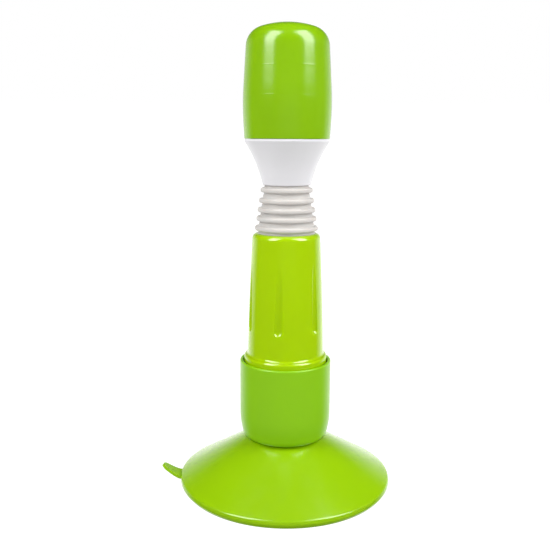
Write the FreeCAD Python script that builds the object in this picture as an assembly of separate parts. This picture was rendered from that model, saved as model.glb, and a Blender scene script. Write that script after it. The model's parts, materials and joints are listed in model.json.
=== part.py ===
import FreeCAD, Part
import math
import os

# A small battery wand massager standing in a holder cup on a suction base.
# Millimetres, +Z up. The origin is on the axis, in the plane that the base rests on.
# Heights are above that plane. A corner of an outline is (radius, height) or
# (radius, height, rounding).

Vec = FreeCAD.Vector
ORIGIN = Vec(0, 0, 0)
UP = Vec(0, 0, 1)
FULL_TURN = 360.0

# ---- overall heights
CREASE_Z = 18.6            # holder cup stands on the suction cup's hub here
HOLDER_FLOOR_Z = 23.0      # the wand stands on this floor
SEAM_Z = 48.0              # handle meets the battery cap, out of sight in the holder
HOLDER_RIM_Z = 48.7
HANDLE_TOP_Z = 96.7
NECK_TOP_Z = 114.4         # neck meets the white cone of the head
HEAD_SKIRT_Z = 130.8       # lower edge of the soft head cap
CROWN_Z = 171.1

# ---- suction cup
DISC_RADIUS = 40.4
DISC_FOOT_RADIUS = 39.3
DISC_FOOT_INNER = 37.0
DISC_EDGE_Z = 3.0
HUB_RADIUS = 14.0
HUB_UNDERSIDE_Z = 11.0
TAB_ROOT_WIDTH = 6.8
TAB_TIP_WIDTH = 3.2
TAB_THICKNESS = 1.1
TAB_LOW_Z = 0.8
TAB_TIP_X = 47.4
TAB_TIP_Z = 6.1

# ---- holder cup
HOLDER_RADIUS = 17.15
HOLDER_BORE = 15.95
HOLDER_FOOT_RADIUS = 15.8
HOLDER_FOOT_ROUNDING = 3.0
HOLDER_FLARE_Z = 25.5

# ---- clamp screw M3, washer and insert
M3_RADIUS = 1.5
M3_HEAD_RADIUS = 2.8
M3_HEAD_HEIGHT = 2.4
WASHER_RADIUS = 3.5
WASHER_THICKNESS = 0.5
SCREW_RECESS_Z = 20.0
SCREW_TIP_Z = 14.0
INSERT_RADIUS = 2.6
INSERT_BOTTOM_Z = 13.4
INSERT_GROOVE_Z = 15.2
INSERT_GROOVE_WIDTH = 1.4
FIT = 0.03                 # radial gap of a close fit

# ---- battery cap
CAP_RADIUS = 15.6
CAP_THREAD_BORE = 12.75
CAP_CAVITY_RADIUS = 13.8
CAP_FLOOR_Z = 24.6
CAP_THREAD_BOTTOM_Z = 38.0
SEAL_SEAT_RADIUS = 13.95
SEAL_SEAT_DEPTH = 1.4
SEAL_SECTION = 0.6

# ---- handle
COLLAR_RADIUS = 15.6
COLLAR_TOP_Z = 50.8
HANDLE_FOOT_RADIUS = 14.3
HANDLE_WAIST_RADIUS = 13.8
HANDLE_WAIST_Z = 72.0
HANDLE_TOP_RADIUS = 12.55
HANDLE_TOP_ROUNDING = 1.9
HANDLE_BORE = 11.3
SPIGOT_RADIUS = 12.65
SPIGOT_BOTTOM_Z = 38.5
NECK_HOLE_RADIUS = 8.3
MOUTH_WALL = 2.0
FLUTE_COUNT = 6
FLUTE_FIRST_ANGLE = -101.2
FLUTE_RADIUS = 2.2
FLUTE_FLOOR_RADIUS = 13.05
FLUTE_BOTTOM_Z = 62.2
FLUTE_TOP_Z = 91.0

# ---- cells (AAA) and contacts
CELL_RADIUS = 5.25
CELL_LENGTH = 44.5
CELL_NUB_RADIUS = 1.9
CELL_NUB_HEIGHT = 1.0
CELL_OFFSET = 5.45
CELL_BOTTOM_Z = 30.0
CELL_TOP_Z = CELL_BOTTOM_Z + CELL_LENGTH
BOARD_Z = 76.6
BOARD_THICKNESS = 1.2
CONTACT_THICKNESS = 0.35

# ---- neck
RIDGE_HEIGHTS = (98.6, 102.1, 105.3, 108.7, 112.5)
RIDGE_RADIUS_LOW = 11.6
RIDGE_RADIUS_HIGH = 9.55
RIDGE_HALF = 0.75
RIDGE_ROUNDING = 0.6
VALLEY_DEPTH = 1.3
VALLEY_STEP = 0.15
VALLEY_ROUNDING = 0.25
BELLOWS_WALL = 1.4
BEAD_RADIUS = 9.8
FLANGE_NECK_RADIUS = 7.2
FLANGE_RADIUS = 8.1
FLANGE_Z = 118.0
NECK_TUBE_BORE = 5.8
GAP = 0.05                 # clearance between parts that nearly touch
SPRING_MEAN_RADIUS = 4.9
SPRING_WIRE_RADIUS = 0.7
SPRING_TURNS = 16
SEAT_LOW_Z = 92.35
SEAT_LOW_BOTTOM_Z = 88.0
SEAT_HIGH_Z = 119.6
SEAT_HIGH_TOP_Z = 122.6
SEAT_HIGH_RADII = (8.65, 9.85)
SEAT_SPIGOT_RADIUS = 4.1
SEAT_SPIGOT_TOP_Z = 97.0
SEAT_SPIGOT_BOTTOM_Z = 113.5
LEAD_RADIUS = 0.6
LEAD_OFFSET = 0.85
LEAD_HOLE_RADIUS = 1.9

# ---- head
CONE_BOTTOM_RADIUS = 8.8
CONE_MIDDLE_RADIUS = 11.15
CONE_MIDDLE_Z = 123.0
CONE_TOP_RADIUS = 15.4
CONE_TOP_Z = 130.0
CONE_BORE = 7.25
CONE_INSIDE_Z = 127.5
MOTOR_SEAT_BORE = 8.6
TUBE_RADIUS = 13.35
TUBE_BORE = 11.95
TUBE_TOP_Z = 164.5
HEAD_SKIRT_RADIUS = 15.5
HEAD_RADIUS = 16.15
HEAD_RADIUS_Z = 142.8
CROWN_EDGE_RADIUS = 14.6
CROWN_EDGE_Z = 168.1
CROWN_WALL = 2.7

# ---- motor (130 size)
MOTOR_RADIUS = 10.05
MOTOR_HALF_WIDTH = 7.55
MOTOR_WALL = 0.8
MOTOR_BOTTOM_Z = 129.0
MOTOR_CAN_Z = 131.5
MOTOR_TOP_Z = 154.0
MOTOR_BOSS_RADIUS = 3.05
MOTOR_BOSS_HEIGHT = 1.5
BUSH_RADIUS = 2.3
SHAFT_RADIUS = 1.0
SHAFT_BOTTOM_Z = 128.2
SHAFT_TOP_Z = 166.0
ROTOR_RADIUS = 5.9
ROTOR_BOTTOM_Z = 138.0
ROTOR_TOP_Z = 147.6
POLE_COUNT = 3
WEIGHT_RADIUS = 8.5
WEIGHT_BOTTOM_Z = 157.6
WEIGHT_TOP_Z = 165.4
RETAINER_THICKNESS = 1.6
BOSS_OFFSET = 9.85
BOSS_RADIUS = 2.2
TAPPING_RADIUS = 1.1
TAPPING_BOTTOM_Z = 146.0


# ---- shape helpers

def rounded_face(corners):
    """Face in the XZ plane through the corners, each with its own rounding."""
    count = len(corners)
    turns = []
    for index, corner in enumerate(corners):
        here = Vec(corner[0], 0, corner[1])
        if len(corner) == 2:
            turns.append((here, None, here))
            continue
        before = corners[index - 1]
        after = corners[(index + 1) % count]
        back = (Vec(before[0], 0, before[1]) - here).normalize()
        ahead = (Vec(after[0], 0, after[1]) - here).normalize()
        half = back.getAngle(ahead) / 2
        reach = corner[2] / math.tan(half)
        inset = corner[2] / math.sin(half) - corner[2]
        middle = here + (back + ahead).normalize() * inset
        turns.append((here + back * reach, middle, here + ahead * reach))
    edges = []
    for index, (start, middle, end) in enumerate(turns):
        if middle is not None:
            edges.append(Part.Arc(start, middle, end).toShape())
        following = turns[(index + 1) % count][0]
        if end.distanceToPoint(following) > 1e-6:
            edges.append(Part.LineSegment(end, following).toShape())
    return Part.Face(Part.Wire(edges))


def turned(corners):
    """Solid of revolution about the Z axis."""
    return rounded_face(corners).revolve(ORIGIN, UP, FULL_TURN)


def rod(radius, bottom, top, x=0.0, y=0.0):
    return Part.makeCylinder(radius, top - bottom, Vec(x, y, bottom))


def ring(outer, inner, bottom, top, x=0.0, y=0.0):
    return rod(outer, bottom, top, x, y).cut(rod(inner, bottom, top, x, y))


def block(x0, x1, y0, y1, z0, z1):
    return Part.makeBox(x1 - x0, y1 - y0, z1 - z0, Vec(x0, y0, z0))


def spun(shape, angle):
    """Copy of a shape turned about the Z axis."""
    copy = shape.copy()
    copy.rotate(ORIGIN, UP, angle)
    return copy


def mirrored(shape):
    """Copy of a shape on the other side of the YZ plane."""
    return shape.mirror(ORIGIN, Vec(1, 0, 0))


def coil(mean_radius, wire_radius, bottom, top, turns, x=0.0):
    """Round-wire helical spring between two heights."""
    rise = top - bottom - 2 * wire_radius
    spine = Part.Wire(Part.makeHelix(rise / turns, rise, mean_radius))
    start = Part.Circle(Vec(mean_radius, 0, 0), Vec(0, 1, 0), wire_radius)
    spring = spine.makePipeShell([Part.Wire(start.toShape())], True, True)
    spring.translate(Vec(x, 0, bottom + wire_radius))
    return spring


def motor_outline(radius, half_width, bottom, top):
    """Round bar with two flats that face +X and -X."""
    flats = block(-half_width, half_width, -radius, radius, bottom, top)
    return rod(radius, bottom, top).common(flats)


def cross_recess(width, length, bottom, top, x=0.0):
    along = block(x - length / 2, x + length / 2, -width / 2, width / 2, bottom, top)
    across = block(x - width / 2, x + width / 2, -length / 2, length / 2, bottom, top)
    return along.fuse(across)


# ---- suction base

def pull_tab():
    """Tapered strip that slants up from the rim, at -X."""
    root_x = DISC_FOOT_INNER + 1.0
    bend_x = DISC_RADIUS + 0.8
    strip = rounded_face([
        (root_x, TAB_LOW_Z),
        (bend_x, TAB_LOW_Z, 6.0),
        (TAB_TIP_X + 0.4, TAB_TIP_Z - TAB_THICKNESS),
        (TAB_TIP_X - 0.2, TAB_TIP_Z),
        (bend_x - 0.4, TAB_LOW_Z + TAB_THICKNESS, 5.0),
        (root_x, TAB_LOW_Z + TAB_THICKNESS),
    ]).extrude(Vec(0, TAB_ROOT_WIDTH, 0))
    strip.translate(Vec(0, -TAB_ROOT_WIDTH / 2, 0))
    top = TAB_TIP_Z + 1
    end_radius = TAB_TIP_WIDTH / 2
    end_x = TAB_TIP_X - end_radius
    plan = Part.Face(Part.makePolygon([
        Vec(root_x, -TAB_ROOT_WIDTH / 2, 0),
        Vec(end_x, -end_radius, 0),
        Vec(end_x, end_radius, 0),
        Vec(root_x, TAB_ROOT_WIDTH / 2, 0),
        Vec(root_x, -TAB_ROOT_WIDTH / 2, 0),
    ])).extrude(UP * top)
    plan = plan.fuse(rod(end_radius, 0, top, end_x))
    return mirrored(strip.common(plan))


def suction_cup():
    disc = turned([
        (0, HUB_UNDERSIDE_Z),
        (12.0, HUB_UNDERSIDE_Z, 3.0),
        (26.0, 6.6, 45.0),
        (DISC_FOOT_INNER, 0),
        (DISC_FOOT_RADIUS, 0, 0.3),
        (DISC_RADIUS, 1.5, 1.5),
        (DISC_RADIUS - 0.3, DISC_EDGE_Z, 0.9),
        (HUB_RADIUS, CREASE_Z),
        (0, CREASE_Z),
    ])
    pocket = rod(INSERT_RADIUS + FIT, INSERT_BOTTOM_Z - FIT, CREASE_Z)
    return disc.fuse(pull_tab()).cut(pocket).removeSplitter()


# ---- holder

def holder_cup():
    wall = HOLDER_RADIUS - HOLDER_BORE
    edge = 0.48 * wall
    cup = turned([
        (0, CREASE_Z),
        (HOLDER_FOOT_RADIUS, CREASE_Z, HOLDER_FOOT_ROUNDING),
        (HOLDER_RADIUS, HOLDER_FLARE_Z, 30.0),
        (HOLDER_RADIUS, HOLDER_RIM_Z, edge),
        (HOLDER_BORE, HOLDER_RIM_Z, edge),
        (HOLDER_BORE, HOLDER_FLOOR_Z, 2.5),
        (0, HOLDER_FLOOR_Z),
    ])
    recess = rod(WASHER_RADIUS + 0.7, SCREW_RECESS_Z, HOLDER_FLOOR_Z)
    hole = rod(M3_RADIUS + 0.15, CREASE_Z, SCREW_RECESS_Z)
    return cup.cut(recess).cut(hole)


def threaded_insert():
    body = ring(INSERT_RADIUS, M3_RADIUS + FIT, INSERT_BOTTOM_Z, CREASE_Z - FIT)
    groove_top = INSERT_GROOVE_Z + INSERT_GROOVE_WIDTH
    groove = ring(INSERT_RADIUS + 1, INSERT_RADIUS - 0.4, INSERT_GROOVE_Z, groove_top)
    return body.cut(groove)


def clamp_washer():
    top = SCREW_RECESS_Z + WASHER_THICKNESS
    return ring(WASHER_RADIUS, M3_RADIUS + 0.1, SCREW_RECESS_Z, top)


def clamp_screw():
    seat = SCREW_RECESS_Z + WASHER_THICKNESS
    top = seat + M3_HEAD_HEIGHT
    screw = turned([
        (0, SCREW_TIP_Z),
        (M3_RADIUS - 0.4, SCREW_TIP_Z),
        (M3_RADIUS, SCREW_TIP_Z + 0.4),
        (M3_RADIUS, seat),
        (M3_HEAD_RADIUS, seat),
        (M3_HEAD_RADIUS, top, 1.0),
        (0, top),
    ])
    return screw.cut(cross_recess(0.7, 3.2, top - 1.4, top))


# ---- foot: the battery cap and the contact in it

def battery_cap():
    seat_z = SEAM_Z - SEAL_SEAT_DEPTH
    lip_z = SEAM_Z - GAP
    return turned([
        (0, HOLDER_FLOOR_Z),
        (CAP_RADIUS, HOLDER_FLOOR_Z, 2.8),
        (CAP_RADIUS, lip_z, 0.3),
        (SEAL_SEAT_RADIUS, lip_z),
        (SEAL_SEAT_RADIUS, seat_z),
        (CAP_THREAD_BORE, seat_z),
        (CAP_THREAD_BORE, CAP_THREAD_BOTTOM_Z),
        (CAP_CAVITY_RADIUS, CAP_THREAD_BOTTOM_Z - 1.0),
        (CAP_CAVITY_RADIUS, CAP_FLOOR_Z, 1.2),
        (0, CAP_FLOOR_Z),
    ])


def bridge_disc():
    top = CELL_BOTTOM_Z - FIT
    disc = rod(11.2, top - 0.5, top)
    return disc.cut(rod(1.5, top - 0.5, top))


def bridge_spring():
    return coil(7.0, 0.45, CAP_FLOOR_Z, CELL_BOTTOM_Z - FIT - 0.5, 3)


# ---- handle

def flute_cutter():
    axis = FLUTE_FLOOR_RADIUS + FLUTE_RADIUS
    groove = rod(FLUTE_RADIUS, FLUTE_BOTTOM_Z, FLUTE_TOP_Z, axis)
    end = Part.makeSphere(FLUTE_RADIUS, Vec(axis, 0, FLUTE_BOTTOM_Z))
    return groove.fuse(end)


def handle_shell():
    mouth_z = HANDLE_TOP_Z - MOUTH_WALL
    shell = turned([
        (SPIGOT_RADIUS, SPIGOT_BOTTOM_Z),
        (SPIGOT_RADIUS, SEAM_Z),
        (COLLAR_RADIUS, SEAM_Z, 0.3),
        (COLLAR_RADIUS, COLLAR_TOP_Z, 1.1),
        (HANDLE_FOOT_RADIUS, COLLAR_TOP_Z + 0.25, 1.0),
        (HANDLE_WAIST_RADIUS, HANDLE_WAIST_Z, 1300.0),
        (HANDLE_TOP_RADIUS, HANDLE_TOP_Z, HANDLE_TOP_ROUNDING),
        (NECK_HOLE_RADIUS, HANDLE_TOP_Z),
        (NECK_HOLE_RADIUS, mouth_z),
        (HANDLE_BORE, mouth_z),
        (HANDLE_BORE, SPIGOT_BOTTOM_Z),
    ])
    cutter = flute_cutter()
    step = FULL_TURN / FLUTE_COUNT
    for index in range(FLUTE_COUNT):
        shell = shell.cut(spun(cutter, FLUTE_FIRST_ANGLE + index * step))
    return shell


def cap_seal_ring():
    mean_radius = (SPIGOT_RADIUS + SEAL_SEAT_RADIUS) / 2
    return Part.makeTorus(mean_radius, SEAL_SECTION, Vec(0, 0, SEAM_Z - 0.75))


def cell_cradle():
    cradle = rod(HANDLE_BORE - 0.05, CELL_BOTTOM_Z + 1.0, CELL_TOP_Z - 0.5)
    for side in (-1, 1):
        bore = rod(CELL_RADIUS + 0.05, CELL_BOTTOM_Z, CELL_TOP_Z, side * CELL_OFFSET)
        cradle = cradle.cut(bore)
    return cradle


def battery_cell():
    """AAA cell on the +X side, its positive nub up."""
    body_top = CELL_TOP_Z - CELL_NUB_HEIGHT
    cell = turned([
        (0, CELL_BOTTOM_Z),
        (CELL_RADIUS, CELL_BOTTOM_Z, 0.4),
        (CELL_RADIUS, body_top, 0.4),
        (CELL_NUB_RADIUS, body_top),
        (CELL_NUB_RADIUS, CELL_TOP_Z, 0.3),
        (0, CELL_TOP_Z),
    ])
    cell.translate(Vec(CELL_OFFSET, 0, 0))
    return cell


def reversed_cell():
    """The same cell on the -X side, its positive nub down."""
    cell = battery_cell()
    cell.rotate(Vec(0, 0, CELL_BOTTOM_Z + CELL_LENGTH / 2), Vec(0, 1, 0), 180)
    return cell


def contact_board():
    board = rod(HANDLE_BORE - 0.1, BOARD_Z, BOARD_Z + BOARD_THICKNESS)
    for side in (-1, 1):
        notch_x = side * (HANDLE_BORE - 0.1)
        board = board.cut(rod(1.2, BOARD_Z, BOARD_Z + BOARD_THICKNESS, notch_x))
    return board


def positive_contact():
    """Leaf bent like a bridge between the board and the nub of the +X cell."""
    half_length = 3.2
    half_width = 2.0
    step = 1.2
    x0 = CELL_OFFSET - half_length
    x1 = CELL_OFFSET + half_length
    leaf_top = CELL_TOP_Z + CONTACT_THICKNESS
    plate_z = BOARD_Z - CONTACT_THICKNESS
    post_x = x0 + step
    top = block(x0, x1, -half_width, half_width, plate_z, BOARD_Z)
    leaf = block(post_x, x1 - step, -half_width, half_width, CELL_TOP_Z, leaf_top)
    post_end = post_x + CONTACT_THICKNESS
    post = block(post_x, post_end, -half_width, half_width, CELL_TOP_Z, BOARD_Z)
    return top.fuse(leaf).fuse(post).removeSplitter()


def negative_contact():
    """Plate with a pressed dome that stands on the flat end of the -X cell."""
    plate_z = BOARD_Z - CONTACT_THICKNESS
    contact = turned([
        (0, CELL_TOP_Z),
        (1.4, CELL_TOP_Z, 0.4),
        (2.8, plate_z, 0.5),
        (4.2, plate_z),
        (4.2, BOARD_Z),
        (0, BOARD_Z),
    ])
    contact.translate(Vec(-CELL_OFFSET, 0, 0))
    return contact


# ---- neck

def ridge_radius(height):
    """Radius of the bellows' ridges, which shrinks evenly from handle to head."""
    span = RIDGE_HEIGHTS[-1] - RIDGE_HEIGHTS[0]
    share = (height - RIDGE_HEIGHTS[0]) / span
    return RIDGE_RADIUS_LOW + share * (RIDGE_RADIUS_HIGH - RIDGE_RADIUS_LOW)


def ridge_outside(height):
    """Outer corners of one ridge, from the valley below it to the one above."""
    peak = ridge_radius(height)
    valley = peak - VALLEY_DEPTH
    low = height - RIDGE_HALF
    high = height + RIDGE_HALF
    return [
        (valley, low - VALLEY_STEP, VALLEY_ROUNDING),
        (peak, low, RIDGE_ROUNDING),
        (peak, high, RIDGE_ROUNDING),
        (valley, high + VALLEY_STEP, VALLEY_ROUNDING),
    ]


def ridge_inside(height):
    """Inner corners behind one ridge, from top to bottom."""
    hollow = ridge_radius(height) - BELLOWS_WALL
    return [
        (hollow - VALLEY_DEPTH, height + RIDGE_HALF),
        (hollow, height + 0.3),
        (hollow, height - 0.3),
        (hollow - VALLEY_DEPTH, height - RIDGE_HALF),
    ]


def neck_bellows():
    """Five ridges, with a bead in the handle's mouth and a flange in the cone."""
    foot_z = HANDLE_TOP_Z + GAP
    head_z = NECK_TOP_Z - GAP
    bead_bottom = SEAT_LOW_Z + GAP
    bead_top = HANDLE_TOP_Z - MOUTH_WALL - GAP
    flange_bottom = FLANGE_Z + GAP
    flange_top = SEAT_HIGH_Z - GAP
    corners = [
        (NECK_TUBE_BORE, bead_bottom),
        (BEAD_RADIUS, bead_bottom, 0.4),
        (BEAD_RADIUS, bead_top, 0.3),
        (NECK_HOLE_RADIUS - GAP, bead_top),
        (NECK_HOLE_RADIUS - GAP, foot_z),
        (ridge_radius(foot_z) - VALLEY_DEPTH, foot_z),
    ]
    for height in RIDGE_HEIGHTS:
        corners += ridge_outside(height)
    corners += [
        (ridge_radius(head_z) - VALLEY_DEPTH, head_z),
        (FLANGE_NECK_RADIUS, head_z),
        (FLANGE_NECK_RADIUS, flange_bottom),
        (FLANGE_RADIUS, flange_bottom, 0.2),
        (FLANGE_RADIUS, flange_top, 0.3),
        (NECK_TUBE_BORE, flange_top),
        (NECK_TUBE_BORE, RIDGE_HEIGHTS[-1] + RIDGE_HALF + VALLEY_STEP),
    ]
    for height in reversed(RIDGE_HEIGHTS):
        corners += ridge_inside(height)
    corners.append((NECK_TUBE_BORE, RIDGE_HEIGHTS[0] - RIDGE_HALF - VALLEY_STEP))
    return turned(corners)


def neck_spring():
    bottom = SEAT_LOW_Z + GAP
    top = SEAT_HIGH_Z - GAP
    return coil(SPRING_MEAN_RADIUS, SPRING_WIRE_RADIUS, bottom, top, SPRING_TURNS)


def neck_seat_lower():
    """Plug in the handle's mouth that holds the bellows' bead and the spring."""
    return turned([
        (LEAD_HOLE_RADIUS, SEAT_LOW_BOTTOM_Z),
        (HANDLE_BORE - GAP, SEAT_LOW_BOTTOM_Z),
        (HANDLE_BORE - GAP, SEAT_LOW_Z),
        (SEAT_SPIGOT_RADIUS, SEAT_LOW_Z),
        (SEAT_SPIGOT_RADIUS, SEAT_SPIGOT_TOP_Z, 0.5),
        (LEAD_HOLE_RADIUS, SEAT_SPIGOT_TOP_Z),
    ])


def neck_seat_upper():
    """Tapered plug in the head's cone that holds the other end of both."""
    bottom_radius, top_radius = SEAT_HIGH_RADII
    return turned([
        (LEAD_HOLE_RADIUS, SEAT_SPIGOT_BOTTOM_Z),
        (SEAT_SPIGOT_RADIUS, SEAT_SPIGOT_BOTTOM_Z, 0.5),
        (SEAT_SPIGOT_RADIUS, SEAT_HIGH_Z),
        (bottom_radius, SEAT_HIGH_Z),
        (top_radius, SEAT_HIGH_TOP_Z),
        (LEAD_HOLE_RADIUS, SEAT_HIGH_TOP_Z),
    ])


def motor_lead():
    """Lead on the +X side, from the contact board to the motor's terminal."""
    start = Vec(LEAD_OFFSET, 0, BOARD_Z + BOARD_THICKNESS)
    corner = Vec(LEAD_OFFSET, 0, 123.4)
    end = Vec(4.3, 0, 127.0)
    ahead = (end - corner).normalize()
    half_turn = UP.getAngle(ahead) / 2
    radius = 0.45 * corner.distanceToPoint(end) / math.tan(half_turn)
    reach = radius * math.tan(half_turn)
    rise = corner - UP * reach
    leave = corner + ahead * reach
    inset = radius / math.cos(half_turn) - radius
    middle = corner + (ahead - UP).normalize() * inset
    path = Part.Wire([
        Part.LineSegment(start, rise).toShape(),
        Part.Arc(rise, middle, leave).toShape(),
        Part.LineSegment(leave, end).toShape(),
    ])
    section = Part.Wire(Part.Circle(start, UP, LEAD_RADIUS).toShape())
    return path.makePipeShell([section], True, True)


# ---- head

def head_shell():
    """Flared cone below, a tube for the motor above."""
    skirt_z = HEAD_SKIRT_Z - GAP
    shell = turned([
        (CONE_BORE, NECK_TOP_Z),
        (CONE_BOTTOM_RADIUS, NECK_TOP_Z, 0.3),
        (CONE_MIDDLE_RADIUS, CONE_MIDDLE_Z, 50.0),
        (CONE_TOP_RADIUS, CONE_TOP_Z, 0.25),
        (CONE_TOP_RADIUS, skirt_z),
        (TUBE_RADIUS, skirt_z),
        (TUBE_RADIUS, TUBE_TOP_Z, 0.8),
        (TUBE_BORE, TUBE_TOP_Z),
        (TUBE_BORE, CONE_INSIDE_Z),
        (FLANGE_RADIUS + GAP, FLANGE_Z),
        (CONE_BORE, FLANGE_Z),
    ])
    ledge = ring(TUBE_BORE + 0.3, MOTOR_SEAT_BORE, CONE_INSIDE_Z, MOTOR_BOTTOM_Z)
    shell = shell.fuse(ledge)
    for side in (-1, 1):
        x = side * BOSS_OFFSET
        shell = shell.fuse(rod(BOSS_RADIUS, CONE_INSIDE_Z + 0.5, MOTOR_TOP_Z, x))
    for side in (-1, 1):
        x = side * BOSS_OFFSET
        hole = rod(TAPPING_RADIUS + FIT, TAPPING_BOTTOM_Z, MOTOR_TOP_Z, x)
        shell = shell.cut(hole)
    return shell.removeSplitter()


def head_cap():
    bore = TUBE_RADIUS + GAP
    inner_crown = CROWN_Z - CROWN_WALL
    return turned([
        (bore, HEAD_SKIRT_Z),
        (HEAD_SKIRT_RADIUS, HEAD_SKIRT_Z, 0.35),
        (HEAD_RADIUS, HEAD_RADIUS_Z, 110.0),
        (CROWN_EDGE_RADIUS, CROWN_EDGE_Z, 7.0),
        (5.0, CROWN_Z, 32.0),
        (0, CROWN_Z),
        (0, inner_crown),
        (bore, inner_crown, 3.0),
    ])


def motor_retainer():
    top = MOTOR_TOP_Z + RETAINER_THICKNESS
    plate = ring(TUBE_BORE - 0.1, MOTOR_BOSS_RADIUS + 0.2, MOTOR_TOP_Z, top)
    for side in (-1, 1):
        hole = rod(TAPPING_RADIUS + 0.1, MOTOR_TOP_Z, top, side * BOSS_OFFSET)
        plate = plate.cut(hole)
    return plate


def retainer_screw():
    seat = MOTOR_TOP_Z + RETAINER_THICKNESS
    top = seat + 1.3
    tip = TAPPING_BOTTOM_Z + 1.5
    screw = turned([
        (0, tip),
        (TAPPING_RADIUS, tip + 1.2),
        (TAPPING_RADIUS, seat),
        (2.0, seat),
        (2.0, top, 0.6),
        (0, top),
    ])
    screw = screw.cut(cross_recess(0.5, 2.2, top - 0.8, top))
    screw.translate(Vec(BOSS_OFFSET, 0, 0))
    return screw


def retainer_screws():
    screw = retainer_screw()
    return Part.Compound([screw, mirrored(screw)])


# ---- motor

def motor_can():
    inner_radius = MOTOR_RADIUS - MOTOR_WALL
    inner_half = MOTOR_HALF_WIDTH - MOTOR_WALL
    can = motor_outline(MOTOR_RADIUS, MOTOR_HALF_WIDTH, MOTOR_CAN_Z, MOTOR_TOP_Z)
    inside_top = MOTOR_TOP_Z - MOTOR_WALL
    can = can.cut(motor_outline(inner_radius, inner_half, MOTOR_CAN_Z, inside_top))
    can = can.fuse(rod(MOTOR_BOSS_RADIUS, inside_top, MOTOR_TOP_Z + MOTOR_BOSS_HEIGHT))
    return can.cut(rod(BUSH_RADIUS, inside_top, MOTOR_TOP_Z + MOTOR_BOSS_HEIGHT))


def motor_end_cap():
    plug_radius = MOTOR_RADIUS - MOTOR_WALL - 0.05
    plug_half = MOTOR_HALF_WIDTH - MOTOR_WALL - 0.05
    flange = motor_outline(MOTOR_RADIUS, MOTOR_HALF_WIDTH, MOTOR_BOTTOM_Z, MOTOR_CAN_Z)
    plug = motor_outline(plug_radius, plug_half, MOTOR_CAN_Z, 133.0)
    cap = flange.fuse(plug).cut(rod(BUSH_RADIUS, MOTOR_BOTTOM_Z, 133.0))
    for side in (-1, 1):
        x = side * 4.8
        cap = cap.cut(block(x - 0.25, x + 0.25, -1.2, 1.2, MOTOR_BOTTOM_Z, 133.0))
    return cap.removeSplitter()


def motor_magnets():
    """Two arc magnets on the round sides of the can, at +Y and -Y."""
    outer = MOTOR_RADIUS - MOTOR_WALL - 0.05
    inner = ROTOR_RADIUS + 0.35
    half_width = 4.9
    arc = ring(outer, inner, 135.0, 150.6)
    arc = arc.common(block(-half_width, half_width, 0, outer, 135.0, 150.6))
    return Part.Compound([arc, spun(arc, 180)])


def motor_terminals():
    """Two tinned blades that stand out of the end cap, at +X and -X."""
    blade = block(4.6, 5.0, -1.15, 1.15, 125.9, 132.9)
    return Part.Compound([blade, mirrored(blade)])


def motor_brushes():
    """Two leaf brushes that reach from the terminals' ends to the commutator."""
    foot = block(2.4, 5.0, -1.1, 1.1, 133.05, 133.3)
    leaf = block(2.25, 2.5, -1.1, 1.1, 133.05, 136.2)
    brush = foot.fuse(leaf).removeSplitter()
    return Part.Compound([brush, mirrored(brush)])


def motor_bushes():
    bore = SHAFT_RADIUS + FIT
    outer = BUSH_RADIUS - 0.01
    lower = ring(outer, bore, MOTOR_BOTTOM_Z, 132.2)
    upper = ring(outer, bore, MOTOR_TOP_Z - MOTOR_WALL, MOTOR_TOP_Z + MOTOR_BOSS_HEIGHT)
    return Part.Compound([lower, upper])


# ---- rotor

def rotor_shaft():
    return turned([
        (0, SHAFT_BOTTOM_Z),
        (SHAFT_RADIUS, SHAFT_BOTTOM_Z, 0.2),
        (SHAFT_RADIUS, SHAFT_TOP_Z, 0.2),
        (0, SHAFT_TOP_Z),
    ])


def rotor_core():
    core = rod(2.2, ROTOR_BOTTOM_Z, ROTOR_TOP_Z)
    rim = ring(ROTOR_RADIUS, 4.9, ROTOR_BOTTOM_Z, ROTOR_TOP_Z)
    arm = block(0, 5.2, -1.0, 1.0, ROTOR_BOTTOM_Z, ROTOR_TOP_Z)
    slot = block(0, 8.0, -0.9, 0.9, ROTOR_BOTTOM_Z, ROTOR_TOP_Z)
    step = FULL_TURN / POLE_COUNT
    for index in range(POLE_COUNT):
        rim = rim.cut(spun(slot, (index + 0.5) * step))
    core = core.fuse(rim)
    for index in range(POLE_COUNT):
        core = core.fuse(spun(arm, index * step))
    core = core.removeSplitter()
    return core.cut(rod(SHAFT_RADIUS + 0.01, ROTOR_BOTTOM_Z, ROTOR_TOP_Z))


def rotor_windings():
    """A copper coil round each of the rotor's arms."""
    overhang = 1.2
    inner = 2.5
    outer = 4.2
    bottom = ROTOR_BOTTOM_Z - overhang
    top = ROTOR_TOP_Z + overhang
    winding = block(inner, outer, -2.2, 2.2, bottom, top)
    half_arm = 1.0 + GAP
    arm = block(inner, outer, -half_arm, half_arm, ROTOR_BOTTOM_Z - GAP, ROTOR_TOP_Z + GAP)
    winding = winding.cut(arm)
    step = FULL_TURN / POLE_COUNT
    return Part.Compound([spun(winding, index * step) for index in range(POLE_COUNT)])


def commutator():
    bottom = 133.5
    top = 136.6
    drum = ring(2.15, SHAFT_RADIUS + 0.01, bottom, top)
    slot = block(1.6, 3.0, -0.15, 0.15, bottom, top - 0.4)
    step = FULL_TURN / POLE_COUNT
    for index in range(POLE_COUNT):
        drum = drum.cut(spun(slot, (index + 0.5) * step))
    return drum


def eccentric_weight():
    weight = rod(WEIGHT_RADIUS, WEIGHT_BOTTOM_Z, WEIGHT_TOP_Z)
    half = block(-WEIGHT_RADIUS, WEIGHT_RADIUS, -WEIGHT_RADIUS, 0, WEIGHT_BOTTOM_Z, WEIGHT_TOP_Z)
    weight = weight.cut(half).fuse(rod(2.6, WEIGHT_BOTTOM_Z, WEIGHT_TOP_Z))
    weight = weight.removeSplitter()
    return weight.cut(rod(SHAFT_RADIUS + 0.01, WEIGHT_BOTTOM_Z, WEIGHT_TOP_Z))


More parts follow.
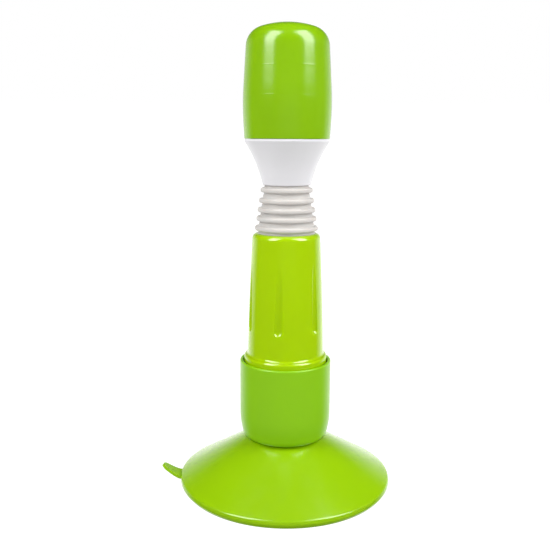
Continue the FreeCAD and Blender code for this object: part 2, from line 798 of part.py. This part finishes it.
PARTS = {
    "suction_cup": suction_cup,
    "holder_cup": holder_cup,
    "threaded_insert": threaded_insert,
    "clamp_washer": clamp_washer,
    "clamp_screw": clamp_screw,
    "battery_cap": battery_cap,
    "bridge_disc": bridge_disc,
    "bridge_spring": bridge_spring,
    "handle_shell": handle_shell,
    "cap_seal_ring": cap_seal_ring,
    "cell_cradle": cell_cradle,
    "battery_cell_1": battery_cell,
    "battery_cell_2": reversed_cell,
    "contact_board": contact_board,
    "positive_contact": positive_contact,
    "negative_contact": negative_contact,
    "neck_bellows": neck_bellows,
    "neck_spring": neck_spring,
    "neck_seat_lower": neck_seat_lower,
    "neck_seat_upper": neck_seat_upper,
    "lead_red": motor_lead,
    "lead_black": lambda: mirrored(motor_lead()),
    "head_shell": head_shell,
    "head_cap": head_cap,
    "motor_retainer": motor_retainer,
    "retainer_screws": retainer_screws,
    "motor_can": motor_can,
    "motor_end_cap": motor_end_cap,
    "motor_magnets": motor_magnets,
    "motor_terminals": motor_terminals,
    "motor_brushes": motor_brushes,
    "motor_bushes": motor_bushes,
    "rotor_shaft": rotor_shaft,
    "rotor_core": rotor_core,
    "rotor_windings": rotor_windings,
    "commutator": commutator,
    "eccentric_weight": eccentric_weight,
}

os.makedirs("parts", exist_ok=True)
for name, make in PARTS.items():
    shape = make()
    shape.exportStep("parts/" + name + ".step")
    box = shape.optimalBoundingBox()
    print("%-18s solids %d  valid %s  volume %9.2f  z %7.2f to %7.2f" % (
        name, len(shape.Solids), shape.isValid(), shape.Volume, box.ZMin, box.ZMax))
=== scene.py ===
import json
import math

import bmesh
import bpy
from mathutils import Euler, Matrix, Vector


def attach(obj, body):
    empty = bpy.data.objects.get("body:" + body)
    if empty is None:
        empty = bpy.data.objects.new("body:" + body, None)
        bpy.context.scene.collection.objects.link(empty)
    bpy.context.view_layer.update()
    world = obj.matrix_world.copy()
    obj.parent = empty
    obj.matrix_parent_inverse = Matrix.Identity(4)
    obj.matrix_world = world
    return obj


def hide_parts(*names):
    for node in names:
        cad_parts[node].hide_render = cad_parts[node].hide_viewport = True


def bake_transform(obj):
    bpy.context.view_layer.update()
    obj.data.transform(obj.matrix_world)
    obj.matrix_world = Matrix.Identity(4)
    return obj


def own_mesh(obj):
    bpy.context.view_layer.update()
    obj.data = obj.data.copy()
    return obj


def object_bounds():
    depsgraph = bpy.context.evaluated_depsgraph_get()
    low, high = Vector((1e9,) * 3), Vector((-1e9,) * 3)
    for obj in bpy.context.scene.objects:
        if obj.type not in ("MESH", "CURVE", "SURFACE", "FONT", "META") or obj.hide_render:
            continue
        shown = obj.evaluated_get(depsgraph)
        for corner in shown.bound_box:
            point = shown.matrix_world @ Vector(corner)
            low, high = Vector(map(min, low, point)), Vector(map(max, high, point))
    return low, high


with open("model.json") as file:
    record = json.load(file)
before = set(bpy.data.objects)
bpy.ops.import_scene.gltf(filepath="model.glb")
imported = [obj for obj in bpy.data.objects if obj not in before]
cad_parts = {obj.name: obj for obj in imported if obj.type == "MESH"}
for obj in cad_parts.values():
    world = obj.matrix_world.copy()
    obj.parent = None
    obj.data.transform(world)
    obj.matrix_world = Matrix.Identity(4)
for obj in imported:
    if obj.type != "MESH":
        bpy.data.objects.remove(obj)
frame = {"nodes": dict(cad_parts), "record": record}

# A small battery wand massager in its suction-base holder. Metres, +Z up, -Y is the front.

MM = 0.001
NODES = frame["nodes"]
cad_low, cad_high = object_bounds()
scene = bpy.context.scene


# ---- camera

CAMERA_DISTANCE = 275.5 * MM
CAMERA_HEIGHT = 130.8 * MM
CAMERA_ASIDE = -4.1 * MM
CAMERA_PITCH = math.radians(10.28)
CAMERA_ROLL = math.radians(0.3)
CAMERA_LENS = 49.1


def make_camera():
    """Camera in front, level with the head's lower edge and looking slightly down."""
    data = bpy.data.cameras.new("camera")
    data.lens = CAMERA_LENS
    data.clip_start = 0.01
    data.clip_end = 20.0
    camera = bpy.data.objects.new("camera", data)
    camera.location = (CAMERA_ASIDE, -CAMERA_DISTANCE, CAMERA_HEIGHT)
    aim = Euler((math.pi / 2 - CAMERA_PITCH, 0, 0)).to_matrix()
    roll = Euler((0, 0, CAMERA_ROLL)).to_matrix()
    camera.rotation_euler = (aim @ roll).to_euler()
    scene.collection.objects.link(camera)
    scene.camera = camera


# ---- node materials

def new_material(name):
    """New material that holds only its Principled shader and output."""
    material = bpy.data.materials.new(name)
    material.use_nodes = True
    nodes = material.node_tree.nodes
    shader = nodes["Principled BSDF"]
    return material, nodes, material.node_tree.links, shader


def noise(nodes, links, scale, detail=3.0, stretch=(1, 1, 1)):
    """Noise in the object's own space; scale is in features per metre."""
    place = nodes.new("ShaderNodeTexCoord")
    mapping = nodes.new("ShaderNodeMapping")
    mapping.inputs["Scale"].default_value = stretch
    texture = nodes.new("ShaderNodeTexNoise")
    texture.inputs["Scale"].default_value = scale
    texture.inputs["Detail"].default_value = detail
    links.new(place.outputs["Object"], mapping.inputs["Vector"])
    links.new(mapping.outputs["Vector"], texture.inputs["Vector"])
    return texture.outputs["Fac"]


def ramp(nodes, links, factor, stops):
    """Colour ramp through (position, colour) stops."""
    node = nodes.new("ShaderNodeValToRGB")
    elements = node.color_ramp.elements
    while len(elements) < len(stops):
        elements.new(1.0)
    for element, (position, colour) in zip(elements, stops):
        element.position = position
        element.color = (*colour, 1.0)
    links.new(factor, node.inputs["Fac"])
    return node.outputs["Color"]


def spread(nodes, links, factor, low, high):
    """A noise value, moved into the range from low to high."""
    node = nodes.new("ShaderNodeMapRange")
    node.inputs["From Min"].default_value = 0.3
    node.inputs["From Max"].default_value = 0.7
    node.inputs["To Min"].default_value = low
    node.inputs["To Max"].default_value = high
    links.new(factor, node.inputs["Value"])
    return node.outputs["Result"]


def tint(colour, share):
    """The colour, brightened or darkened, and kept at 1 or below."""
    return tuple(min(1.0, channel * share) for channel in colour)


def varied(nodes, links, shader, colour, change, scale, stretch=(1, 1, 1)):
    """Base colour that drifts a little over the surface."""
    factor = noise(nodes, links, scale, 3.0, stretch)
    stops = [(0.3, tint(colour, 1 - change)), (0.7, tint(colour, 1 + change))]
    links.new(ramp(nodes, links, factor, stops), shader.inputs["Base Color"])


def grain(nodes, links, shader, scale, depth, stretch=(1, 1, 1), base=None):
    """Fine relief; depth is in metres. base is an earlier bump to add it to."""
    bump = nodes.new("ShaderNodeBump")
    bump.inputs["Strength"].default_value = 1.0
    bump.inputs["Distance"].default_value = depth
    links.new(noise(nodes, links, scale, 2.0, stretch), bump.inputs["Height"])
    if base is not None:
        links.new(base, bump.inputs["Normal"])
    links.new(bump.outputs["Normal"], shader.inputs["Normal"])
    return bump.outputs["Normal"]


def rough(nodes, links, shader, low, high, scale, stretch=(1, 1, 1)):
    """Roughness that wanders between low and high."""
    factor = noise(nodes, links, scale, 4.0, stretch)
    links.new(spread(nodes, links, factor, low, high), shader.inputs["Roughness"])


def soften(shader, weight, radius, scale):
    """Light that goes a little way into the material."""
    shader.inputs["Subsurface Weight"].default_value = weight
    shader.inputs["Subsurface Radius"].default_value = radius
    shader.inputs["Subsurface Scale"].default_value = scale


def soft_green():
    """Rubber with a fine grain over longer flow marks round the cap."""
    material, nodes, links, shader = new_material("soft_green_rubber")
    varied(nodes, links, shader, (0.215, 0.435, 0.0), 0.025, 60)
    rough(nodes, links, shader, 0.17, 0.21, 400, (1, 1, 6))
    relief = grain(nodes, links, shader, 2600, 0.000008)
    grain(nodes, links, shader, 240, 0.00002, (0.2, 0.2, 3), relief)
    shader.inputs["Specular IOR Level"].default_value = 0.85
    soften(shader, 0.12, (0.6, 1.0, 0.1), 0.0012)
    return material


def moulded(name, colour, low, high, change=0.08, drift=120, polish=500, relief=1800,
            depth=0.00002, relief_stretch=(1, 1, 1), specular=0.5, soft=None):
    """Moulded plastic or rubber. low and high are its roughness; drift, polish and relief
    are features per metre of its colour, roughness and grain; soft is what soften takes."""
    material, nodes, links, shader = new_material(name)
    varied(nodes, links, shader, colour, change, drift)
    rough(nodes, links, shader, low, high, polish)
    grain(nodes, links, shader, relief, depth, relief_stretch)
    shader.inputs["Specular IOR Level"].default_value = specular
    if soft is not None:
        soften(shader, *soft)
    return material


def metal(name, colour, low, high, stretch=(1, 1, 1)):
    """Bare metal; low and high are its roughness."""
    material, nodes, links, shader = new_material(name)
    shader.inputs["Metallic"].default_value = 1.0
    varied(nodes, links, shader, colour, 0.06, 200, stretch)
    rough(nodes, links, shader, low, high, 900, stretch)
    grain(nodes, links, shader, 2500, 0.000006, stretch)
    return material


def striped(name, dark, light, per_metre, metallic, roughness):
    """Bands along Z, for laminations and wound wire."""
    material, nodes, links, shader = new_material(name)
    place = nodes.new("ShaderNodeTexCoord")
    wave = nodes.new("ShaderNodeTexWave")
    wave.bands_direction = "Z"
    wave.inputs["Scale"].default_value = per_metre
    wave.inputs["Distortion"].default_value = 0.4
    links.new(place.outputs["Object"], wave.inputs["Vector"])
    stops = [(0.2, dark), (0.8, light)]
    links.new(ramp(nodes, links, wave.outputs["Fac"], stops), shader.inputs["Base Color"])
    bump = nodes.new("ShaderNodeBump")
    bump.inputs["Distance"].default_value = 0.00005
    links.new(wave.outputs["Fac"], bump.inputs["Height"])
    links.new(bump.outputs["Normal"], shader.inputs["Normal"])
    shader.inputs["Metallic"].default_value = metallic
    shader.inputs["Roughness"].default_value = roughness
    return material


MATERIALS = {
    "soft_green_rubber": soft_green(),
    "satin_green_plastic": moulded(
        "satin_green_plastic", (0.225, 0.49, 0.0), 0.285, 0.33, change=0.02, drift=50,
        relief=900, depth=0.00001, specular=0.6, soft=(0.15, (0.7, 1.0, 0.1), 0.0015)),
    "gloss_green_plastic": moulded(
        "gloss_green_plastic", (0.345, 0.55, 0.0), 0.08, 0.12, change=0.02, drift=45,
        polish=300, relief=90, depth=0.00003, relief_stretch=(1, 1, 0.4), specular=1.0,
        soft=(0.2, (0.7, 1.0, 0.1), 0.0015)),
    "clear_green_vinyl": moulded(
        "clear_green_vinyl", (0.25, 0.46, 0.0), 0.16, 0.22, change=0.02, drift=35,
        polish=220, relief=120, depth=0.00003, specular=0.9,
        soft=(0.3, (0.8, 1.0, 0.1), 0.0025)),
    "ivory_rubber": moulded(
        "ivory_rubber", (0.56, 0.537, 0.513), 0.42, 0.52, change=0.015, drift=150,
        polish=600, relief=2400, depth=0.00001, soft=(0.3, (1.0, 0.85, 0.75), 0.0012)),
    "white_plastic": moulded(
        "white_plastic", (0.72, 0.71, 0.735), 0.285, 0.35, change=0.012, drift=80,
        polish=400, relief=900, depth=0.00001),
    "black_plastic": moulded("black_plastic", (0.02, 0.02, 0.02), 0.35, 0.5),
    "black_rubber": moulded("black_rubber", (0.012, 0.012, 0.012), 0.45, 0.6),
    "red_insulation": moulded("red_insulation", (0.45, 0.02, 0.015), 0.35, 0.45),
    "black_insulation": moulded("black_insulation", (0.015, 0.015, 0.015), 0.35, 0.45),
    "circuit_board": moulded("circuit_board", (0.02, 0.13, 0.05), 0.25, 0.4),
    "cell_jacket": moulded("cell_jacket", (0.07, 0.09, 0.13), 0.2, 0.3),
    "ferrite": moulded("ferrite", (0.03, 0.03, 0.034), 0.5, 0.65),
    "steel": metal("steel", (0.56, 0.56, 0.58), 0.18, 0.3),
    "spring_steel": metal("spring_steel", (0.46, 0.46, 0.48), 0.2, 0.32, (1, 1, 4)),
    "plated_steel": metal("plated_steel", (0.66, 0.66, 0.67), 0.15, 0.25),
    "weight_steel": metal("weight_steel", (0.40, 0.40, 0.42), 0.35, 0.5),
    "brass": metal("brass", (0.70, 0.50, 0.20), 0.2, 0.35),
    "bronze": metal("bronze", (0.48, 0.28, 0.14), 0.4, 0.55),
    "copper": metal("copper", (0.72, 0.36, 0.20), 0.2, 0.3),
    "copper_wire": striped("copper_wire", (0.20, 0.05, 0.02), (0.65, 0.26, 0.10), 900, 1.0, 0.3),
    "core_steel": striped("core_steel", (0.14, 0.14, 0.15), (0.40, 0.40, 0.43), 600, 1.0, 0.4),
}


def paint_cad_nodes():
    """Gives every carried-over CAD node the material of its slot."""
    for entry in frame["record"]["subparts"]:
        data = NODES[entry["node"]].data
        data.materials.clear()
        data.materials.append(MATERIALS[entry["material_slot"]])


# ---- turned meshes

ARC_STEP = math.radians(8)
ARC_LENGTH = 1.6
SEGMENTS = 128
SHARP_ANGLE = math.radians(40)


def rounded(corners):
    """Points of an outline; a corner is (radius, height) or (radius, height, rounding)."""
    points = []
    for index, corner in enumerate(corners):
        here = Vector(corner[:2])
        if len(corner) == 2:
            points.append(here)
            continue
        back = (Vector(corners[index - 1][:2]) - here).normalized()
        ahead = (Vector(corners[(index + 1) % len(corners)][:2]) - here).normalized()
        half = back.angle(ahead) / 2
        size = corner[2]
        start = here + back * size / math.tan(half)
        centre = here + (back + ahead).normalized() * size / math.sin(half)
        sweep = math.pi - 2 * half
        steps = max(2, math.ceil(sweep / ARC_STEP), math.ceil(sweep * size / ARC_LENGTH))
        arm = start - centre
        side = 1 if back.cross(ahead) < 0 else -1
        for step in range(steps + 1):
            angle = side * sweep * step / steps
            cosine = math.cos(angle)
            sine = math.sin(angle)
            turned = Vector((arm.x * cosine - arm.y * sine, arm.x * sine + arm.y * cosine))
            points.append(centre + turned)
    return points


def dense(outline):
    """The same outline, with long straights divided."""
    points = []
    for index, point in enumerate(outline):
        following = outline[(index + 1) % len(outline)]
        on_axis = point.x < 1e-7 and following.x < 1e-7
        parts = 1 if on_axis else max(1, math.ceil((following - point).length / ARC_LENGTH))
        points += [point.lerp(following, part / parts) for part in range(parts)]
    return points


def new_object(name, mesh, slot_name):
    """Object of a finished mesh, with its material."""
    mesh.materials.append(MATERIALS[slot_name])
    piece = bpy.data.objects.new(name, mesh)
    scene.collection.objects.link(piece)
    return piece


def lathe(outline, segments=SEGMENTS):
    """bmesh of a closed outline in millimetres, turned about Z; also its rings of vertices."""
    mesh = bmesh.new()
    rings = []
    for point in outline:
        if point.x < 1e-7:
            rings.append([mesh.verts.new((0, 0, point.y * MM))])
            continue
        ring = []
        for index in range(segments):
            angle = 2 * math.pi * index / segments
            place = (point.x * math.cos(angle), point.x * math.sin(angle), point.y)
            ring.append(mesh.verts.new([value * MM for value in place]))
        rings.append(ring)
    for lower, upper in zip(rings, rings[1:] + rings[:1]):
        if len(lower) == 1 and len(upper) == 1:
            continue
        for index in range(segments):
            following = (index + 1) % segments
            corners = [lower[index % len(lower)], lower[following % len(lower)],
                       upper[following % len(upper)], upper[index % len(upper)]]
            face = list(dict.fromkeys(corners))
            mesh.faces.new(face)
    return mesh, rings


def finished_mesh(name, work):
    """Smooth mesh from a bmesh, with its normals out and its corners sharp."""
    bmesh.ops.recalc_face_normals(work, faces=work.faces)
    mesh = bpy.data.meshes.new(name)
    work.to_mesh(mesh)
    work.free()
    mesh.shade_smooth()
    mesh.set_sharp_from_angle(angle=SHARP_ANGLE)
    return mesh


def with_line(outline, height):
    """Outline with a tiny raised mould line at a height, where it climbs on its outer side."""
    profile = ((-3, 0), (-1, 0), (0, 1), (1, 0), (3, 0))
    result = []
    for index, point in enumerate(outline):
        following = outline[(index + 1) % len(outline)]
        climbs = following.y > point.y
        if not climbs or abs(point.y - height) > 3 * MOULD_LINE_HALF:
            result.append(point)
        if point.y < height <= following.y:
            slope = (following.x - point.x) / (following.y - point.y)
            for offset, lift in profile:
                z = height + offset * MOULD_LINE_HALF
                radius = point.x + slope * (z - point.y) + lift * MOULD_LINE_HEIGHT
                result.append(Vector((radius, z)))
    return result


# ---- head cap

SKIRT_Z = 130.8
SKIRT_RADIUS = 15.5
HEAD_BORE = 13.4
BULGE_Z = 142.8
BULGE_RADIUS = 16.15
CROWN_EDGE_Z = 168.1
CROWN_EDGE_RADIUS = 14.6
CROWN_Z = 171.1
INNER_CROWN_Z = 168.4
MOULD_LINES_Z = (145.7, 155.7)
MOULD_LINE_HEIGHT = 0.022
MOULD_LINE_HALF = 0.12


def make_head_cap():
    """Domed cap with two faint mould lines round it."""
    outline = rounded([
        (HEAD_BORE, SKIRT_Z),
        (SKIRT_RADIUS, SKIRT_Z, 0.35),
        (BULGE_RADIUS, BULGE_Z, 110.0),
        (CROWN_EDGE_RADIUS, CROWN_EDGE_Z, 7.0),
        (5.0, CROWN_Z, 32.0),
        (0, CROWN_Z),
        (0, INNER_CROWN_Z),
        (HEAD_BORE, INNER_CROWN_Z, 3.0),
    ])
    outline = dense(outline)
    for height in MOULD_LINES_Z:
        outline = with_line(outline, height)
    work, _ = lathe(outline)
    mesh = finished_mesh("head_cap_skin", work)
    piece = new_object("head_cap_skin", mesh, "soft_green_rubber")
    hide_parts("head_cap")
    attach(piece, "head")


# ---- bellows, spring and leads of the neck, each in two halves

SPLIT_Z = 103.7
RIDGE_HEIGHTS = (98.6, 102.1, 105.3, 108.7, 112.5)
RIDGE_RADIUS_LOW = 11.6
RIDGE_RADIUS_HIGH = 9.55
RIDGE_HALF = 0.75
RIDGE_ROUNDING = 0.6
VALLEY_DEPTH = 1.3
VALLEY_STEP = 0.15
VALLEY_ROUNDING = 0.25
BELLOWS_WALL = 1.4
TUBE_BORE = 5.8
FOOT_Z = 96.72
NECK_END_Z = 114.38


def ridge_radius(height):
    """Radius of the ridges, which shrinks evenly from handle to head."""
    share = (height - RIDGE_HEIGHTS[0]) / (RIDGE_HEIGHTS[-1] - RIDGE_HEIGHTS[0])
    return RIDGE_RADIUS_LOW + share * (RIDGE_RADIUS_HIGH - RIDGE_RADIUS_LOW)


def ridge_corners(height):
    """Outer corners of one ridge, from its lower valley to its upper one."""
    peak = ridge_radius(height)
    valley = peak - VALLEY_DEPTH
    return [
        (valley, height - RIDGE_HALF - VALLEY_STEP, VALLEY_ROUNDING),
        (peak, height - RIDGE_HALF, RIDGE_ROUNDING),
        (peak, height + RIDGE_HALF, RIDGE_ROUNDING),
        (valley, height + RIDGE_HALF + VALLEY_STEP, VALLEY_ROUNDING),
    ]


def hollow_corners(height):
    """Inner corners behind one ridge, from top to bottom."""
    hollow = ridge_radius(height) - BELLOWS_WALL
    return [
        (hollow - VALLEY_DEPTH, height + RIDGE_HALF, 0.3),
        (hollow, height + 0.3, 0.2),
        (hollow, height - 0.3, 0.2),
        (hollow - VALLEY_DEPTH, height - RIDGE_HALF, 0.3),
    ]


def bend_half(piece, upper):
    """Bakes the half's placement into its mesh, the same for lower and upper halves."""
    if upper:
        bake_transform(piece)
    else:
        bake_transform(piece)


def make_bellows():
    """Ribbed tube of the neck, in a lower and an upper half."""
    valley = ridge_radius(SPLIT_Z) - VALLEY_DEPTH
    inside = valley - BELLOWS_WALL
    low_ridges = [height for height in RIDGE_HEIGHTS if height < SPLIT_Z]
    high_ridges = [height for height in RIDGE_HEIGHTS if height > SPLIT_Z]
    lower = [(inside, SPLIT_Z)]
    for height in reversed(low_ridges):
        lower += hollow_corners(height)
    lower += [(TUBE_BORE, FOOT_Z), (ridge_radius(FOOT_Z) - VALLEY_DEPTH, FOOT_Z)]
    for height in low_ridges:
        lower += ridge_corners(height)
    lower.append((valley, SPLIT_Z))
    upper = [(valley, SPLIT_Z)]
    for height in high_ridges:
        upper += ridge_corners(height)
    upper += [(ridge_radius(NECK_END_Z) - VALLEY_DEPTH, NECK_END_Z), (TUBE_BORE, NECK_END_Z)]
    for height in reversed(high_ridges):
        upper += hollow_corners(height)
    upper.append((inside, SPLIT_Z))
    for name, corners in (("bellows_lower", lower), ("bellows_upper", upper)):
        work, _ = lathe(rounded(corners))
        piece = new_object(name, finished_mesh(name, work), "ivory_rubber")
        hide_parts("neck_bellows")
        bend_half(piece, name == "bellows_upper")


def make_neck_core(node, slot_name):
    """Spring or lead inside the bellows: the CAD shape, cut in two at the split."""
    for half in ("lower", "upper"):
        upper = half == "upper"
        work = bmesh.new()
        work.from_mesh(NODES[node].data)
        bmesh.ops.remove_doubles(work, verts=work.verts, dist=1e-6)
        geometry = work.verts[:] + work.edges[:] + work.faces[:]
        cut = bmesh.ops.bisect_plane(
            work, geom=geometry, plane_co=(0, 0, SPLIT_Z * MM), plane_no=(0, 0, 1),
            clear_outer=not upper, clear_inner=upper)
        rim = [item for item in cut["geom_cut"] if isinstance(item, bmesh.types.BMEdge)]
        bmesh.ops.holes_fill(work, edges=rim)
        name = node + "_" + half
        piece = new_object(name, finished_mesh(name, work), slot_name)
        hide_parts(node)
        bend_half(piece, upper)


# ---- suction disc

DISC_SEGMENTS = 136
DISC_RADIUS = 40.4
DISC_FOOT_RADIUS = 39.3
DISC_FOOT_INNER = 37.0
DISC_EDGE_Z = 3.0
HUB_RADIUS = 14.0
HUB_UNDERSIDE_Z = 11.0
HUB_UNDERSIDE_RADIUS = 12.0
HOLLOW_RADIUS = 26.0
HOLLOW_Z = 6.6
CREASE_Z = 18.6
POCKET_RADIUS = 2.63
POCKET_Z = 11.9            # deeper than the insert, so that it stays clear when pressed
TAB_COLUMNS = 4
TAB_LOW_Z = 0.8
TAB_HIGH_Z = 2.1
TAB_STEPS = 16
TAB_CURL = 1.35
TAB_ROOT_WIDTH = 6.8
TAB_TIP_WIDTH = 3.2
TAB_THICKNESS = 1.1
TAB_TIP_X = 47.4
TAB_TIP_Z = 6.1


def make_suction_disc():
    """The disc with its pull tab."""
    outline = rounded([
        (POCKET_RADIUS, POCKET_Z),
        (0, POCKET_Z),
        (0, HUB_UNDERSIDE_Z),
        (HUB_UNDERSIDE_RADIUS, HUB_UNDERSIDE_Z, 3.0),
        (HOLLOW_RADIUS, HOLLOW_Z, 45.0),
        (DISC_FOOT_INNER, 0, 0.4),
        (DISC_FOOT_RADIUS, 0, 0.3),
        (DISC_RADIUS, 1.5, 1.5),
        (DISC_RADIUS - 0.3, DISC_EDGE_Z, 0.9),
        (HUB_RADIUS, CREASE_Z),
        (POCKET_RADIUS, CREASE_Z),
    ])
    work, rings = lathe(dense(outline), DISC_SEGMENTS)
    add_tab(work, rings)
    mesh = finished_mesh("suction_disc", work)
    piece = new_object("suction_disc", mesh, "clear_green_vinyl")
    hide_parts("suction_cup")
    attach(piece, "suction_base")
    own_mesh(piece)


def tab_stations():
    """(x, z, lean, half width) along the pull tab's middle, from the rim to its tip."""
    low_z = (TAB_LOW_Z + TAB_HIGH_Z) / 2
    rise = TAB_TIP_Z - TAB_THICKNESS / 2 - low_z
    reach = TAB_TIP_X - DISC_RADIUS
    stations = []
    for step in range(1, TAB_STEPS + 1):
        share = math.sin(step / TAB_STEPS * math.pi / 2)
        x = DISC_RADIUS + reach * share
        z = low_z + rise * share ** TAB_CURL
        lean = math.atan(rise / reach * TAB_CURL * share ** (TAB_CURL - 1))
        taper = TAB_ROOT_WIDTH + (TAB_TIP_WIDTH - TAB_ROOT_WIDTH) * share
        end = max(0.0, (x - TAB_TIP_X + TAB_TIP_WIDTH / 2) / (TAB_TIP_WIDTH / 2))
        stations.append((x, z, lean, taper / 2 * math.sqrt(max(0.02, 1 - end ** 2))))
    return stations


def add_tab(work, rings):
    """Grows the pull tab out of the disc's rim at -X."""
    middle = DISC_SEGMENTS // 2
    columns = range(middle - TAB_COLUMNS // 2, middle + TAB_COLUMNS // 2 + 1)
    outer = [ring for ring in rings if len(ring) > 1 and ring[0].co.x > DISC_FOOT_RADIUS * MM]
    rows = [r for r in outer if TAB_LOW_Z * MM < r[0].co.z < TAB_HIGH_Z * MM]
    root = [[ring[column] for ring in rows] for column in columns]
    span = rows[-1][0].co.z - rows[0][0].co.z
    middle_z = (rows[-1][0].co.z + rows[0][0].co.z) / 2
    for left, right in zip(root, root[1:]):
        for low in range(len(rows) - 1):
            corners = {left[low], left[low + 1], right[low], right[low + 1]}
            for face in set(left[low].link_faces):
                if set(face.verts) == corners:
                    work.faces.remove(face)
    grids = [root]
    for x, z, lean, half_width in tab_stations():
        grid = []
        for index in range(TAB_COLUMNS + 1):
            y = half_width * (1 - 2 * index / TAB_COLUMNS)
            column = []
            for ring in rows:
                lift = (ring[0].co.z - middle_z) / span * TAB_THICKNESS
                place = (-(x - lift * math.sin(lean)), y, z + lift * math.cos(lean))
                column.append(work.verts.new([value * MM for value in place]))
            grid.append(column)
        grids.append(grid)
    for near, far in zip(grids, grids[1:]):
        bridge(work, [column[0] for column in near], [column[0] for column in far])
        bridge(work, [column[-1] for column in near], [column[-1] for column in far])
        bridge(work, near[0], far[0])
        bridge(work, near[-1], far[-1])
    for left, right in zip(grids[-1], grids[-1][1:]):
        bridge(work, left, right)


def bridge(work, first, second):
    """Row of faces between two rows of vertices."""
    for index in range(len(first) - 1):
        work.faces.new([first[index], first[index + 1], second[index + 1], second[index]])


# ---- light and floor

SOFTBOX_RADIANCE = 6.4
LIGHT_DISTANCE = 0.9
LEFT_AZIMUTH = -52
RIGHT_AZIMUTH = 60
SOFTBOX_ELEVATION = 42
FRONT_GLOW = 0.03
BACK_GLOW = 1.4
BEHIND_FROM = 0.3
BEHIND_FULL = 0.75
LOW_FROM = 0.4
LOW_FULL = -0.1
FLOOR_SIZE = 6.0
FLOOR_GAP = 0.02 * MM
FLOOR_GLOW = 1.0
BOUNCE_GAP = 0.5 * MM
BOUNCE_GLOW = 0.72

# name, azimuth, elevation, radiance, width, height, whether surfaces reflect it
LAMPS = (
    ("softbox_left", LEFT_AZIMUTH, SOFTBOX_ELEVATION, SOFTBOX_RADIANCE, 0.44, 0.84, True),
    ("softbox_right", RIGHT_AZIMUTH, SOFTBOX_ELEVATION, SOFTBOX_RADIANCE, 0.48, 0.84, True),
    ("fill_top", 0, 80, 0.6, 0.9, 0.9, False),
    ("fill_front", 4, 2, 1.5, 0.9, 0.6, False),
    ("fill_back", 180, 30, 1.8, 0.9, 0.7, False),
    ("fill_left", -100, 5, 1.0, 0.8, 0.8, False),
    ("fill_right", 102, 5, 1.5, 0.8, 0.8, False),
)


def area_light(name, azimuth, elevation, radiance, width, height, reflected):
    """Rectangular light that faces the middle of the object; azimuth 0 is the front."""
    data = bpy.data.lights.new(name, "AREA")
    data.shape = "RECTANGLE"
    data.size = width
    data.size_y = height
    data.energy = radiance * math.pi * width * height
    lamp = bpy.data.objects.new(name, data)
    around = math.radians(azimuth)
    up = math.radians(elevation)
    out = Vector((math.sin(around) * math.cos(up), -math.cos(around) * math.cos(up), math.sin(up)))
    lamp.location = Vector((0, 0, (cad_low.z + cad_high.z) / 2)) + out * LIGHT_DISTANCE
    lamp.rotation_euler = (-out).to_track_quat("-Z", "Y").to_euler()
    lamp.visible_glossy = reflected
    scene.collection.objects.link(lamp)


def ramp_between(nodes, links, value, start, end):
    """0 to 1 as value goes from start to end."""
    node = nodes.new("ShaderNodeMapRange")
    node.inputs["From Min"].default_value = start
    node.inputs["From Max"].default_value = end
    links.new(value, node.inputs["Value"])
    return node.outputs["Result"]


def math_node(nodes, links, operation, first, second):
    """Result of a two-input Math node."""
    node = nodes.new("ShaderNodeMath")
    node.operation = operation
    links.new(first, node.inputs[0])
    links.new(second, node.inputs[1])
    return node.outputs["Value"]


def make_world():
    """White for the camera; for the light, white low down behind and dark elsewhere."""
    world = bpy.data.worlds.new("studio")
    world.use_nodes = True
    nodes = world.node_tree.nodes
    links = world.node_tree.links
    background = nodes["Background"]
    background.inputs["Color"].default_value = (1, 1, 1, 1)
    place = nodes.new("ShaderNodeTexCoord")
    split = nodes.new("ShaderNodeSeparateXYZ")
    links.new(place.outputs["Generated"], split.inputs["Vector"])
    behind = ramp_between(nodes, links, split.outputs["Y"], BEHIND_FROM, BEHIND_FULL)
    low = ramp_between(nodes, links, split.outputs["Z"], LOW_FROM, LOW_FULL)
    white = math_node(nodes, links, "MULTIPLY", behind, low)
    shade = nodes.new("ShaderNodeMapRange")
    shade.inputs["To Min"].default_value = FRONT_GLOW
    shade.inputs["To Max"].default_value = BACK_GLOW
    links.new(white, shade.inputs["Value"])
    path = nodes.new("ShaderNodeLightPath")
    camera_white = path.outputs["Is Camera Ray"]
    seen = math_node(nodes, links, "MAXIMUM", shade.outputs["Result"], camera_white)
    links.new(seen, background.inputs["Strength"])
    scene.world = world


def glowing_plane(name, height, glow):
    """Level pale plane that gives off a little light of its own."""
    half = FLOOR_SIZE / 2
    mesh = bpy.data.meshes.new(name)
    corners = [(x * half, y * half, height) for x, y in ((-1, -1), (1, -1), (1, 1), (-1, 1))]
    mesh.from_pydata(corners, [], [(0, 1, 2, 3)])
    plane = bpy.data.objects.new(name, mesh)
    scene.collection.objects.link(plane)
    material, nodes, links, shader = new_material(name)
    varied(nodes, links, shader, (0.12, 0.12, 0.12), 0.01, 3)
    rough(nodes, links, shader, 0.5, 0.6, 20)
    shader.inputs["Emission Color"].default_value = (1, 1, 1, 1)
    shader.inputs["Emission Strength"].default_value = glow
    mesh.materials.append(material)
    return plane


def make_floor():
    """A white floor for the camera, and under it one that only lights the object."""
    floor = glowing_plane("floor", cad_low.z - FLOOR_GAP, FLOOR_GLOW)
    floor.visible_diffuse = False
    floor.visible_glossy = False
    bounce = glowing_plane("bounce", cad_low.z - BOUNCE_GAP, BOUNCE_GLOW)
    bounce.visible_camera = False
    bounce.visible_glossy = False
    bounce.visible_shadow = False


make_camera()
make_world()
make_floor()
for lamp_settings in LAMPS:
    area_light(*lamp_settings)
scene.view_settings.view_transform = "Standard"

paint_cad_nodes()
make_head_cap()
make_bellows()
make_neck_core("neck_spring", "spring_steel")
make_neck_core("lead_red", "red_insulation")
make_neck_core("lead_black", "black_insulation")
make_suction_disc()
